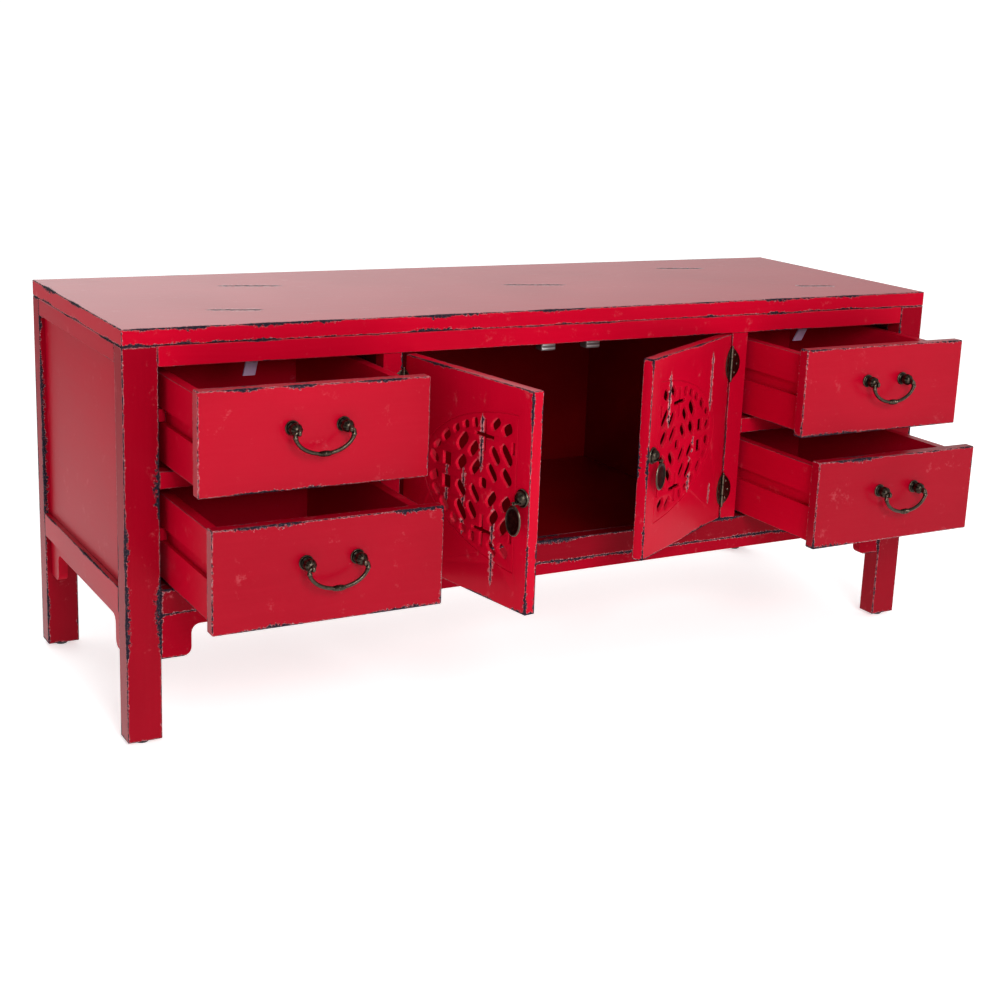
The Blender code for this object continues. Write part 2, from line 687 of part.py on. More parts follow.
def make_hinge(name, side, z, case_empty, door_empty):
    """Two pointed leaves on one pin: the case leaf has the pin and the end knuckles, the door leaf the middle one."""
    third = HINGE_HEIGHT / 3
    leaf_y = PIN_FORWARD - TOUCH - HINGE_LEAF_THICKNESS / 2

    middle_of_leaf = (0.0, leaf_y, z)
    case_leaf = plate(f"hinge_case_leaf_{name}", [leaf_outline(side)], HINGE_LEAF_THICKNESS, middle_of_leaf)
    finish(case_leaf, AGED_BRONZE, case_empty)
    clear_radius = HINGE_KNUCKLE_RADIUS + TOUCH
    clearance = cylinder(name + "_clearance", (0.0, 0.0, z), clear_radius, third + TOUCH, "Z")
    combine(case_leaf, [clearance], "DIFFERENCE")
    ends = [cylinder(name + "_end", (0.0, 0.0, z + where * third), HINGE_KNUCKLE_RADIUS,
                     third - TOUCH, "Z", 12) for where in (-1, 1)]
    pin_length = HINGE_HEIGHT + 2 * HINGE_PIN_PAST
    pin = cylinder(name + "_pin", (0.0, 0.0, z), HINGE_PIN_RADIUS, pin_length, "Z", 10)
    combine(case_leaf, ends + [pin], "UNION")

    door_leaf = plate(f"hinge_door_leaf_{name}", [leaf_outline(-side)], HINGE_LEAF_THICKNESS, middle_of_leaf)
    finish(door_leaf, AGED_BRONZE, door_empty)
    room_length = 1.2 * third + TOUCH
    room_middle = third / 2 - TOUCH / 2 + room_length / 2
    room = [cylinder(name + "_room", (0.0, 0.0, z + where * room_middle), clear_radius, room_length, "Z")
            for where in (-1, 1)]
    combine(door_leaf, room, "DIFFERENCE")
    middle = cylinder(name + "_middle", (0.0, 0.0, z), HINGE_KNUCKLE_RADIUS, third - 3 * TOUCH, "Z", 12)
    combine(door_leaf, [middle], "UNION")
    bore = cylinder(name + "_bore", (0.0, 0.0, z), HINGE_PIN_RADIUS + TOUCH, third * 2, "Z", 10)
    combine(door_leaf, [bore], "DIFFERENCE")


def make_pull(word, side, door_empty):
    """A domed boss near the door's free edge, with an oval drop that swings on a bar below its middle."""
    x = -side * (DOOR_REVEAL / 2 + DOOR_WIDTH - KNOB_FROM_EDGE)
    z = MOTIF_ABOVE_MIDDLE * DOOR_HEIGHT
    face = PIN_FORWARD - TOUCH
    dome_radius = KNOB_RADIUS - KNOB_RIM_WIDTH
    profile = [(0.0, KNOB_HEIGHT)]
    for step in range(1, 6):
        angle = math.pi / 2 * step / 6
        rise = (KNOB_HEIGHT - KNOB_RIM_THICKNESS) * math.cos(angle)
        profile.append((dome_radius * math.sin(angle), KNOB_RIM_THICKNESS + rise))
    profile += [(dome_radius, KNOB_DOME_STARTS), (KNOB_RADIUS, KNOB_RIM_THICKNESS)]
    profile += [(KNOB_RADIUS, 0.0), (0.0, 0.0)]
    knob = turned(f"pull_knob_{word}", profile, (x, face, z), 18)
    knob.rotation_euler = (math.pi / 2, 0.0, 0.0)
    finish(knob, AGED_BRONZE, door_empty)
    bar_y = face - PENDANT_BAR_REACH
    bar_z = z - PENDANT_BAR_BELOW
    bar_length = PENDANT_BAR_LENGTH - PENDANT_CHEEK_THICKNESS / 2
    parts = [cylinder(f"bar_{word}", (x, bar_y, bar_z), PENDANT_BAR_RADIUS, bar_length, "X", 10)]
    high = PENDANT_CHEEK_HALF_HEIGHT
    for edge in (-1, 1):
        ends = (edge * PENDANT_BAR_LENGTH / 2, edge * (PENDANT_BAR_LENGTH / 2 - PENDANT_CHEEK_THICKNESS))
        parts.append(block(f"cheek_{word}", (x + min(ends), bar_y - high, bar_z - high),
                           (x + max(ends), face - PENDANT_CHEEK_DEPTH_IN_KNOB, bar_z + high), ease=0))
    combine(knob, parts, "UNION")

    pivot = new_empty(f"pull_pivot_{word}", (x, bar_y, bar_z), door_empty)
    drop = -PENDANT_TOP_BELOW_BAR - PENDANT_HEIGHT / 2
    outline = oval(0.0, drop, PENDANT_WIDTH / FACET_SPREAD, PENDANT_HEIGHT / FACET_SPREAD, points=24)
    pendant = plate(f"pull_pendant_{word}", [outline], PENDANT_THICKNESS, (0.0, 0.0, 0.0))
    finish(pendant, AGED_BRONZE, pivot)
    eye = cylinder(f"eye_{word}", (0.0, 0.0, 0.0), PENDANT_EYE_RADIUS, PENDANT_EYE_WIDTH, "X", 12)
    combine(pendant, [eye], "UNION")
    bore_radius = PENDANT_BAR_RADIUS + TOUCH
    bore = cylinder(f"eye_bore_{word}", (0.0, 0.0, 0.0), bore_radius, PENDANT_EYE_WIDTH * 2, "X", 10)
    combine(pendant, [bore], "DIFFERENCE")


def make_door(word, side, angle):
    pin = (side * (CENTRE_HALF - DOOR_REVEAL / 2), CASE_FRONT - PIN_FORWARD, DOOR_MIDDLE)
    door_empty = new_empty(f"door_pin_{word}", pin, turn=side * angle)
    case_empty = new_empty(f"hinge_line_{word}", pin)
    door = outline_curve(f"door_{word}", door_outlines(side), DOOR_THICKNESS)
    door.location = (0.0, PIN_FORWARD + DOOR_THICKNESS / 2, 0.0)
    finish(door, RED_LACQUER, door_empty)
    for level, z in hinge_levels():
        make_hinge(f"{word}_{level}", side, z, case_empty, door_empty)
    make_pull(word, side, door_empty)


def make_cabinet():
    case = new_empty("case", (0.0, CASE_FRONT, 0.0))
    make_legs(case)
    make_front_frame(case)
    make_boards(case)
    make_catches(case)
    for word, side in SIDES:
        make_side(case, word, side)
        make_partition(case, word, side)
        make_drawer("lower", OPENING_BOTTOM, LOWER_PULL, word, side)
        make_drawer("upper", OPENING_BOTTOM + DRAWER_OPENING + DRAWER_RAIL_HEIGHT, UPPER_PULL, word, side)
    make_door("left", -1, LEFT_DOOR_ANGLE)
    make_door("right", 1, RIGHT_DOOR_ANGLE)


make_cabinet()
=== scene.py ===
"""The looks of a low red lacquered cabinet: worn lacquer, aged bronze fittings, fretwork doors."""

import json
import math

import bmesh
import bpy
from mathutils import Euler, Matrix, Vector


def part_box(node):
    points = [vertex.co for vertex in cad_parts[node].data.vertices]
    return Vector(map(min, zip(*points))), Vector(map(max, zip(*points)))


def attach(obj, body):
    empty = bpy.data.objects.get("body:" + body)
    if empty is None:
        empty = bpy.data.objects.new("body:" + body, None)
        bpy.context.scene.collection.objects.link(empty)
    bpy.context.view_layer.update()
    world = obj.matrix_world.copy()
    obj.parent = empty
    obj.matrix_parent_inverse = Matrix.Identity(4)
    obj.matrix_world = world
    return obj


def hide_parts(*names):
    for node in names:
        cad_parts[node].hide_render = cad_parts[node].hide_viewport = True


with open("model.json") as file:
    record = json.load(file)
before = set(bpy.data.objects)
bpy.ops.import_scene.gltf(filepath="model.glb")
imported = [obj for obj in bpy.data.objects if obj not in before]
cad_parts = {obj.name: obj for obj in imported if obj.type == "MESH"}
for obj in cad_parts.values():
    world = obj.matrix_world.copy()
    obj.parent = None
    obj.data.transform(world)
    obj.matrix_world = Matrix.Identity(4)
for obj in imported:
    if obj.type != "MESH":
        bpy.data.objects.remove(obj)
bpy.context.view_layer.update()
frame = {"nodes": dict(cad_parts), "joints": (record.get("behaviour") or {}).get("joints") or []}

MM = 0.001
SIDES = (("left", -1), ("right", 1))
LEVELS = ("upper", "lower")
JOINTS = {joint["name"]: joint for joint in frame["joints"]}
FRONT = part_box("top_board")[0].y
UPWARDS = (0.0, 0.0, 1.0)
FACING_FRONT = Matrix.Rotation(math.pi / 2, 4, "X")
FACING_BACK = Matrix.Rotation(-math.pi / 2, 4, "X")
FACING_DOWN = Matrix.Rotation(math.pi, 4, "X")
LYING_ACROSS = Matrix.Rotation(math.pi / 2, 4, "Y")


def at(x, y, z):
    return Matrix.Translation((x, y, z))


def box_middle(node):
    low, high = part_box(node)
    return (low + high) / 2


# ---------------------------------------------------------------- painting

class Value:
    """Something that changes over a surface. The operators add the nodes that work it out."""

    def __init__(self, paint, socket):
        self.paint = paint
        self.socket = socket

    def work(self, operation, first, second=0.0):
        return self.paint.node("ShaderNodeMath", {"operation": operation}, {0: first, 1: second})

    def __add__(self, other):
        return self.work("ADD", self, other)

    __radd__ = __add__

    def __sub__(self, other):
        return self.work("SUBTRACT", self, other)

    def __rsub__(self, other):
        return self.work("SUBTRACT", other, self)

    def __mul__(self, other):
        return self.work("MULTIPLY", self, other)

    __rmul__ = __mul__

    def __truediv__(self, other):
        return self.work("DIVIDE", self, other)

    def least(self, other):
        return self.work("MINIMUM", self, other)

    def most(self, other):
        return self.work("MAXIMUM", self, other)

    def size(self):
        return self.work("ABSOLUTE", self)

    def clamped(self):
        return self.paint.node("ShaderNodeClamp", {}, {0: self})

    def below(self, limit, soft):
        """1 where this is under the limit, 0 where it is over, fading over a width of soft."""
        return ((limit - self) / soft + 0.5).clamped()


class Paint:
    """One material, built node by node on its Principled shader."""

    def __init__(self, name):
        self.material = bpy.data.materials.new(name)
        self.material.use_nodes = True
        self.tree = self.material.node_tree
        self.surface = self.tree.nodes["Principled BSDF"]

    def join(self, value, socket):
        if isinstance(value, Value):
            self.tree.links.new(value.socket, socket)
        else:
            socket.default_value = value

    def node(self, kind, settings, inputs, output=0):
        made = self.tree.nodes.new(kind)
        for name, setting in settings.items():
            if name == "stops":
                for position, colour in setting[1:-1]:
                    made.color_ramp.elements.new(position)
                for element, (position, colour) in zip(made.color_ramp.elements, setting):
                    element.position = position
                    element.color = (*colour, 1.0)
            else:
                setattr(made, name, setting)
        for name, value in inputs.items():
            self.join(value, made.inputs[name])
        return Value(self, made.outputs[output])

    def place(self, turn=None):
        """Where a point is on the piece; turn is (pivot, angle) and brings a turned board square."""
        place = self.node("ShaderNodeTexCoord", {}, {}, "Object")
        if turn is None:
            return place
        pivot, angle = turn
        return self.node("ShaderNodeVectorRotate", {"rotation_type": "Z_AXIS"},
                         {"Vector": place, "Center": pivot, "Angle": angle})

    def vector(self, operation, first, second, output=0):
        return self.node("ShaderNodeVectorMath", {"operation": operation}, {0: first, 1: second}, output)

    def parts(self, vector):
        split = self.node("ShaderNodeSeparateXYZ", {}, {0: vector}).socket.node
        return [Value(self, split.outputs[axis]) for axis in range(3)]

    def noise(self, place, scale, detail=2.0, rough=0.5, stretch=(1.0, 1.0, 1.0)):
        stretched = self.vector("MULTIPLY", place, stretch)
        return self.node("ShaderNodeTexNoise", {"noise_dimensions": "3D"},
                         {"Vector": stretched, "Scale": scale, "Detail": detail, "Roughness": rough})

    def mix(self, amount, without, full):
        """A colour between two colours."""
        colours = [(*colour, 1.0) if isinstance(colour, tuple) else colour for colour in (without, full)]
        return self.node("ShaderNodeMix", {"data_type": "RGBA"},
                         {0: amount, 6: colours[0], 7: colours[1]}, 2)

    def bump(self, height, depth, strength=1.0):
        return self.node("ShaderNodeBump", {}, {"Height": height, "Distance": depth, "Strength": strength})

    def finish(self, **sockets):
        """Sets the shader's sockets; a word such as Base_Color is the socket Base Color."""
        for name, value in sockets.items():
            self.join(value, self.surface.inputs[name.replace("_", " ")])
        return self.material


# ---------------------------------------------------------------- lacquer

CRIMSON = (0.440, 0.0006, 0.0155)
CRIMSON_DEEP = (0.370, 0.0004, 0.0125)
CRIMSON_PALE = (0.500, 0.0060, 0.0260)
# Painted shade: dark maroons for the inside of the case, where shade falls
SHADE_MAROON = (0.160, 0.0006, 0.0030)
SHADE_MAROON_DEEP = (0.100, 0.0004, 0.0016)
# Pink of rubbed lacquer, and of the painted highlight along every edge
RUBBED_AND_HIGHLIGHT_PINK = (0.620, 0.150, 0.170)
PRIMER = (0.470, 0.300, 0.310)
GROUND = (0.012, 0.010, 0.018)
LACQUER_IOR = 1.07
BARE_RIM = 1.0 * MM
BARE_PATCH = 22.0 * MM
FRINGE_WIDTH = 3.3 * MM
SHINE_IOR = 1.19
SHINE_ROUGHNESS = 0.26
STROKE_DEPTH = 2 * MM


def middle_of_three(first, second, third):
    return first.least(second).most(first.most(second).least(third))


def edge_distance(paint, place, low, high):
    """How far a point on a board is from the board's nearest edge."""
    middle = (low + high) / 2
    half = (high - low) / 2
    away = paint.vector("ABSOLUTE", paint.vector("SUBTRACT", place, middle), (0.0, 0.0, 0.0))
    return middle_of_three(*paint.parts(paint.vector("SUBTRACT", half, away)))


def stroke(paint, place, middle, along, across, length, width, ragged):
    """1 on a rubbed streak about a middle point, of a length and a width, with a ragged outline."""
    offset = paint.vector("SUBTRACT", place, middle)
    off_face = paint.vector("DOT_PRODUCT", offset, along.cross(across), "Value").size()
    run = paint.vector("DOT_PRODUCT", offset, along, "Value").size()
    side = paint.vector("DOT_PRODUCT", offset, across, "Value").size()
    taper = (4.0 - run / (length / 8)).clamped()
    soft = width / 5
    return side.below(taper * ragged * width - soft / 2, soft) * off_face.below(STROKE_DEPTH, MM)


def lacquer(name, low, high, turn=None, wear=1.0, seed=0.0, strokes=(), painted_inside_shade=None, depth=1.0, shine=0.2):
    """Red lacquer on a board: rubbed through to the dark ground at its edges and along the strokes.

    The inside shade mask gives the part of the surface painted dark maroon as the shade inside the case.
    depth scales the red as painted shade under 1 and painted light over 1. shine is the polish on upright
    faces, a number or a function of the place; flat tops have it all.
    """
    paint = Paint(name)
    place = paint.place(turn)
    moved = paint.vector("ADD", place, (seed, seed * 0.7, seed * 1.3))
    edge = edge_distance(paint, place, low, high)

    patches = paint.noise(moved, 12.0, 2.0)
    chips = paint.noise(moved, 230.0, 5.0, 0.72)
    crumbs = paint.noise(moved, 800.0, 3.0, 0.6)
    ragged = 3.4 * chips - 1.1
    reach = wear * (BARE_RIM + BARE_PATCH * (patches - 0.50).most(0.0)) * ragged
    bare = edge.below(reach, 0.2 * MM)
    fringe = edge.below(reach + FRINGE_WIDTH * (crumbs - 0.46) * wear, 0.3 * MM)

    for *line, width in strokes:
        rubbed = stroke(paint, place, *line, width, ragged.most(0.25))
        worn_round = stroke(paint, place, *line, 1.5 * width, 1.5 * ragged) * crumbs * 1.6
        bare = bare.most(rubbed * (1.0 - crumbs.below(0.36, 0.05)))
        fringe = fringe.most(worn_round)

    tone = paint.noise(moved, 6.0, 3.0)
    long_way = max(range(3), key=lambda axis: (high - low)[axis])
    stretch = tuple(0.05 if axis == long_way else 1.0 for axis in range(3))
    brushed = paint.noise(moved, 260.0, 3.0, 0.6, stretch)
    # depth scales all three reds: painted shade under 1, painted light over 1, for the light a kind of board gets
    darker, lighter, palest = (tuple(part * depth for part in colour)
                               for colour in (CRIMSON_DEEP, CRIMSON, CRIMSON_PALE))
    red = paint.mix((tone * 1.8 - 0.45).clamped(), darker, lighter)
    red = paint.mix(((brushed - 0.46) * 2.2).clamped() * 0.22, red, palest)
    scuffs = paint.noise(moved, 34.0, 6.0, 0.78)
    red = paint.mix(((scuffs - 0.60) * 7.0).clamped() * brushed * 0.5, red, RUBBED_AND_HIGHLIGHT_PINK)
    # Painted highlight, partly rubbed wear: a thin pink line along every edge, fainter on less worn boards
    red = paint.mix(edge.below(1.4 * MM * chips, 0.6 * MM) * 0.32 * min(1.0, wear), red, RUBBED_AND_HIGHLIGHT_PINK)
    # Painted shade: the marked part turns dark maroon, standing for the shade inside the case
    if painted_inside_shade is not None:
        dark = paint.mix((tone * 1.8 - 0.4).clamped(), SHADE_MAROON_DEEP, SHADE_MAROON)
        red = paint.mix(painted_inside_shade(paint, place), red, dark)
    colour = paint.mix(fringe, red, paint.mix((crumbs * 2.0 - 0.5).clamped(), RUBBED_AND_HIGHLIGHT_PINK, PRIMER))
    colour = paint.mix(bare, colour, paint.mix((crumbs - 0.58).most(0.0) * 4.0, GROUND, PRIMER))

    ripple = paint.noise(moved, 75.0, 2.0)
    height = ripple * 0.05 + brushed * 0.04 - bare * 0.5 - fringe * 0.25
    gloss = 0.30 + 0.10 * tone + 0.06 * brushed + 0.25 * bare
    facing = paint.parts(paint.node("ShaderNodeNewGeometry", {}, {}, "Normal"))[2]
    flat_top = ((facing - 0.6) * 4.0).clamped()
    upright = shine(paint, place) if callable(shine) else shine
    polish = (flat_top + (1.0 - flat_top) * upright) * (0.86 + 0.28 * tone) * (1.0 - bare)
    return paint.finish(Base_Color=colour, Roughness=gloss, IOR=LACQUER_IOR, Coat_Weight=polish,
                        Coat_Roughness=SHINE_ROUGHNESS, Coat_IOR=SHINE_IOR,
                        Normal=paint.bump(height, 0.6 * MM))


def dress(node, material):
    """Gives a CAD node its finish."""
    slots = frame["nodes"][node].data.materials
    slots.clear()
    slots.append(material)


# Rubbed streaks on the top: middle from the left front corner, half its run along X and Y
TOP_STROKES = (
    ((0.278, 0.3025), (0.084, -0.019)),
    ((0.183, 0.1065), (0.068, -0.017)),
    ((0.702, 0.2155), (0.092, -0.021)),
    ((1.052, 0.3285), (0.079, -0.017)),
    ((1.157, 0.1000), (0.063, -0.014)),
)
TOP_STROKE_WIDTH = 7.0 * MM


def top_strokes():
    low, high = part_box("top_board")
    spots = []
    for (x, y), (run_x, run_y) in TOP_STROKES:
        along = Vector((run_x, run_y, 0.0))
        length = along.length
        along.normalize()
        across = Vector((-along.y, along.x, 0.0))
        spots.append((Vector((low.x + x, low.y + y, high.z)), along, across, 1.15 * length, TOP_STROKE_WIDTH))
    return spots


def behind(front_y):
    """Painted shade: the dark maroon of the shaded inside on everything further back than a plane."""
    def painted_inside_shade(paint, place):
        y = paint.parts(place)[1]
        return (0.0 - y).below(0.0 - front_y, 0.5 * MM)
    return painted_inside_shade


def low_shine(paint, place):
    """Upright faces are more polished towards the floor."""
    return ((0.47 - paint.parts(place)[2]) * 1.3).clamped()


# Each kind of board: how worn, how far its red is scaled as painted shade (under 1) or painted light (over 1), how
# polished its upright faces
BOARDS = (
    ("leg_", 1.6, 0.58, low_shine),
    ("front_top_rail", 0.4, 1.0, 0.03),
    # Painted shadow: the rail under the doors gets the darkest red, standing for the shadow the doors cast on it
    ("front_bottom_rail", 1.8, 0.46, 0.25),
    ("front_", 1.7, 0.68, 0.05),
    ("side_top_rail", 0.5, 0.86, low_shine),
    ("side_bottom_rail", 0.7, 0.86, low_shine),
    ("side_panel", 0.2, 0.86, low_shine),
    ("partition", 0.6, 0.85, 0.1),
    ("drawer_rail", 0.6, 0.9, 0.2),
    ("drawer_front_upper", 1.5, 0.80, 0.75),
    ("drawer_front_lower", 1.6, 0.66, 0.75),
    ("drawer_box", 0.4, 1.08, 0.15),
    ("top_board", 1.4, 1.0, 0.03),
    ("back_panel", 0.3, 0.9, 0.1),
    ("bottom_board", 0.3, 0.9, 0.1),
)


def paint_wood():
    """Every wooden CAD node except the doors."""
    seed = 0.0
    inner_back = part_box("front_top_rail")[1].y
    for node in sorted(frame["nodes"]):
        low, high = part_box(node)
        seed += 1.37
        kinds = [board for board in BOARDS if node.startswith(board[0])]
        if not kinds:
            continue
        # depth is this kind of board's painted shade or painted light
        kind, wear, depth, shine = kinds[0]
        # Painted shade: the back panel and bottom board all over, and the partition behind the top rail, get the
        # shaded inside maroon
        painted_inside_shade = None
        if kind in ("back_panel", "bottom_board"):
            painted_inside_shade = behind(low.y - MM)
        elif kind == "partition":
            painted_inside_shade = behind(inner_back + 3 * MM)
        strokes = top_strokes() if kind == "top_board" else ()
        dress(node, lacquer(node + "_finish", low, high, None, wear, seed, strokes, painted_inside_shade, depth, shine))


# ---------------------------------------------------------------- fittings

BRONZE_LIGHT = (0.135, 0.106, 0.078)
BRONZE_DARK = (0.008, 0.006, 0.005)


def bronze():
    paint = Paint("aged_bronze")
    place = paint.place()
    stain = paint.noise(place, 260.0, 3.0, 0.6)
    grit = paint.noise(place, 1900.0, 2.0)
    raised = paint.node("ShaderNodeNewGeometry", {}, {}, "Pointiness")
    rubbed = ((raised - 0.50) * 9.0 + stain - 0.40).clamped()
    colour = paint.mix(rubbed, BRONZE_DARK, BRONZE_LIGHT)
    rough = 0.27 - 0.05 * rubbed + 0.12 * grit
    return paint.finish(Base_Color=colour, Metallic=1.0, Roughness=rough,
                        Normal=paint.bump(grit + stain, 0.00012))


def dull_zinc():
    paint = Paint("dull_zinc")
    stain = paint.noise(paint.place(), 500.0, 3.0)
    colour = paint.mix(stain, (0.070, 0.052, 0.052), (0.160, 0.130, 0.130))
    return paint.finish(Base_Color=colour, Metallic=0.8, Roughness=0.40 + 0.2 * stain,
                        Normal=paint.bump(stain, 0.00006))


def zinc():
    paint = Paint("zinc_plate")
    place = paint.place()
    brushed = paint.noise(place, 900.0, 2.0, 0.5, (0.05, 1.0, 1.0))
    colour = paint.mix(brushed, (0.30, 0.28, 0.28), (0.52, 0.50, 0.50))
    return paint.finish(Base_Color=colour, Metallic=1.0, Roughness=0.22 + 0.25 * brushed,
                        Normal=paint.bump(brushed, 0.00005))


def pale_plastic():
    paint = Paint("pale_plastic")
    cloud = paint.noise(paint.place(), 140.0, 3.0)
    colour = paint.mix(cloud, (0.34, 0.20, 0.36), (0.50, 0.36, 0.50))
    return paint.finish(Base_Color=colour, Roughness=0.35 + 0.2 * cloud, Normal=paint.bump(cloud, 0.0001))


def black_plastic():
    paint = Paint("black_plastic")
    grain = paint.noise(paint.place(), 2400.0, 2.0)
    colour = paint.mix(grain, (0.010, 0.010, 0.011), (0.028, 0.027, 0.027))
    return paint.finish(Base_Color=colour, Roughness=0.42 + 0.25 * grain, Normal=paint.bump(grain, 0.00008))


# ---------------------------------------------------------------- shapes

def in_mm(profile):
    return [(radius * MM, height * MM) for radius, height in profile]


def spun(profile, steps=40):
    """A shape turned about Z; the profile is radius and height from the top of the axis down."""
    shape = bmesh.new()
    verts = [shape.verts.new((radius, 0.0, height)) for radius, height in profile]
    edges = [shape.edges.new(pair) for pair in zip(verts, verts[1:])]
    bmesh.ops.spin(shape, geom=verts + edges, cent=(0.0, 0.0, 0.0), axis=UPWARDS,
                   angle=math.tau, steps=steps, use_merge=True)
    return closed(shape)


def closed(shape):
    bmesh.ops.remove_doubles(shape, verts=shape.verts, dist=1e-6)
    bmesh.ops.recalc_face_normals(shape, faces=shape.faces)
    return shape


def sweep(radius, centre, start, end, steps):
    """Points along an arc of a profile, angles in degrees."""
    points = []
    for step in range(steps + 1):
        angle = math.radians(start + (end - start) * step / steps)
        points.append((centre[0] + radius * math.cos(angle), centre[1] + radius * math.sin(angle)))
    return points


def brick(low, high, ease, segments=2):
    """A box between two corners with rounded edges."""
    shape = bmesh.new()
    bmesh.ops.create_cube(shape, size=1.0)
    size = Vector(high) - Vector(low)
    bmesh.ops.scale(shape, vec=size, verts=shape.verts)
    bmesh.ops.translate(shape, vec=(Vector(low) + Vector(high)) / 2, verts=shape.verts)
    bmesh.ops.bevel(shape, geom=shape.edges[:], offset=ease, segments=segments, profile=0.5,
                    affect="EDGES", material=-1)
    return shape


def plate(outline, low_y, high_y, ease):
    """A flat plate in the XZ plane, eased along its front rim; the front is at low_y."""
    shape = bmesh.new()
    face = shape.faces.new([shape.verts.new((x, high_y, z)) for x, z in outline])
    grown = bmesh.ops.extrude_face_region(shape, geom=[face])
    front = [item for item in grown["geom"] if isinstance(item, bmesh.types.BMVert)]
    bmesh.ops.translate(shape, vec=(0.0, low_y - high_y, 0.0), verts=front)
    rim = [edge for edge in shape.edges if all(vert in front for vert in edge.verts)]
    bmesh.ops.bevel(shape, geom=rim, offset=ease, segments=2, profile=0.5, affect="EDGES", material=-1)
    return closed(shape)


def rod(points, radii, sides=6):
    """A round bar along points, with its own radius at each of them."""
    curve = bpy.data.curves.new("rod", "CURVE")
    curve.dimensions = "3D"
    curve.bevel_depth = 1.0
    curve.bevel_resolution = sides
    curve.use_fill_caps = True
    spline = draw(curve, points)
    for point, radius in zip(spline.points, radii):
        point.radius = radius
    return as_shape(curve)


def draw(curve, points, closed_up=False):
    """Adds a line through the points to a curve."""
    spline = curve.splines.new("POLY")
    spline.points.add(len(points) - 1)
    for point, place in zip(spline.points, points):
        point.co = (*place, 1.0)
    spline.use_cyclic_u = closed_up
    return spline


def as_object(name, data):
    made = bpy.data.objects.new(name, data)
    bpy.context.scene.collection.objects.link(made)
    return made


def as_mesh(name, shape):
    mesh = bpy.data.meshes.new(name)
    shape.to_mesh(mesh)
    shape.free()
    return mesh


def taken_from(holder):
    """The shape an object has after its modifiers, as a bmesh; the object goes."""
    bpy.context.view_layer.update()
    mesh = bpy.data.meshes.new_from_object(holder.evaluated_get(bpy.context.evaluated_depsgraph_get()))
    bpy.data.objects.remove(holder)
    shape = bmesh.new()
    shape.from_mesh(mesh)
    bpy.data.meshes.remove(mesh)
    return shape


def as_shape(curve):
    """The solid of a curve, as a bmesh."""
    return closed(taken_from(as_object(curve.name, curve)))


class Piece:
    """One finished piece. Shapes are added to it, and its place ends up in its mesh."""

    def __init__(self, name):
        self.name = name
        self.shape = bmesh.new()

    def add(self, shape, matrix=None):
        if matrix is not None:
            bmesh.ops.transform(shape, matrix=matrix, verts=shape.verts)
        part = as_mesh("part", shape)
        self.shape.from_mesh(part)
        bpy.data.meshes.remove(part)

    def done(self, material, body, stands_for=(), sharp=40.0):
        mesh = as_mesh(self.name, self.shape)
        mesh.shade_smooth()
        mesh.set_sharp_from_angle(angle=math.radians(sharp))
        mesh.materials.append(material)
        made = as_object(self.name, mesh)
        if stands_for:
            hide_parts(*stands_for)
        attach(made, body)
        return made


# ---------------------------------------------------------------- drawer handles

POST_BASE = 9.5 * MM
BALL_RADIUS = 8.4 * MM
BALL_REACH = 12.0 * MM
EYE_REACH = 22.3 * MM
EYE_RADIUS = 3.4 * MM
EYE_WIRE = 1.05 * MM
EYE_STRETCH = 1.8
ROD_RADIUS = 2.5 * MM
PETALS = 8


def bud():
    """A handle post standing up: a stepped rose, a neck and a ball carved as a bud."""
    neck = [(5.2, 5.2), (4.6, 4.4), (4.9, 3.4), (6.0, 2.7), (6.9, 2.2), (7.3, 1.7), (7.9, 1.9), (8.6, 2.0),
            (9.2, 1.6), (9.5, 1.0), (9.5, 0.35), (0.0, 0.35)]
    ball = sweep(BALL_RADIUS, (0.0, BALL_REACH), 90, -48, 18)
    ball[0] = (0.0, ball[0][1])
    shape = spun(ball + in_mm(neck), 64)
    for vert in shape.verts:
        rise = (vert.co.z - BALL_REACH) / BALL_RADIUS
        if abs(rise) < 0.96 and vert.co.z > 5.6 * MM:
            turn = math.atan2(vert.co.y, vert.co.x)
            groove = abs(math.cos(turn * PETALS / 2)) ** 0.5
            shrink = 1.0 - 0.16 * (1.0 - groove) * (1.0 - rise * rise)
            ring = 1.0 - 0.06 * max(0.0, 1.0 - abs(rise - 0.62) / 0.10)
            vert.co.x *= shrink * ring
            vert.co.y *= shrink * ring
    return shape


def make_post(node, body, metal):
    base = box_middle(node)
    base.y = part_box(node)[1].y
    piece = Piece(node + "_bud")
    piece.add(bud(), at(*base) @ FACING_FRONT)
    eye = spun(sweep(EYE_WIRE, (EYE_RADIUS, 0.0), 180, -180, 12), 28)
    drop = JOINTS["bail_swing_" + body[len("drawer_"):]]["pos_m"][2]
    stretch = Matrix.Scale(EYE_STRETCH, 4, UPWARDS)
    piece.add(eye, at(base.x, base.y - EYE_REACH, drop) @ LYING_ACROSS @ stretch)
    piece.done(metal, body, [node])


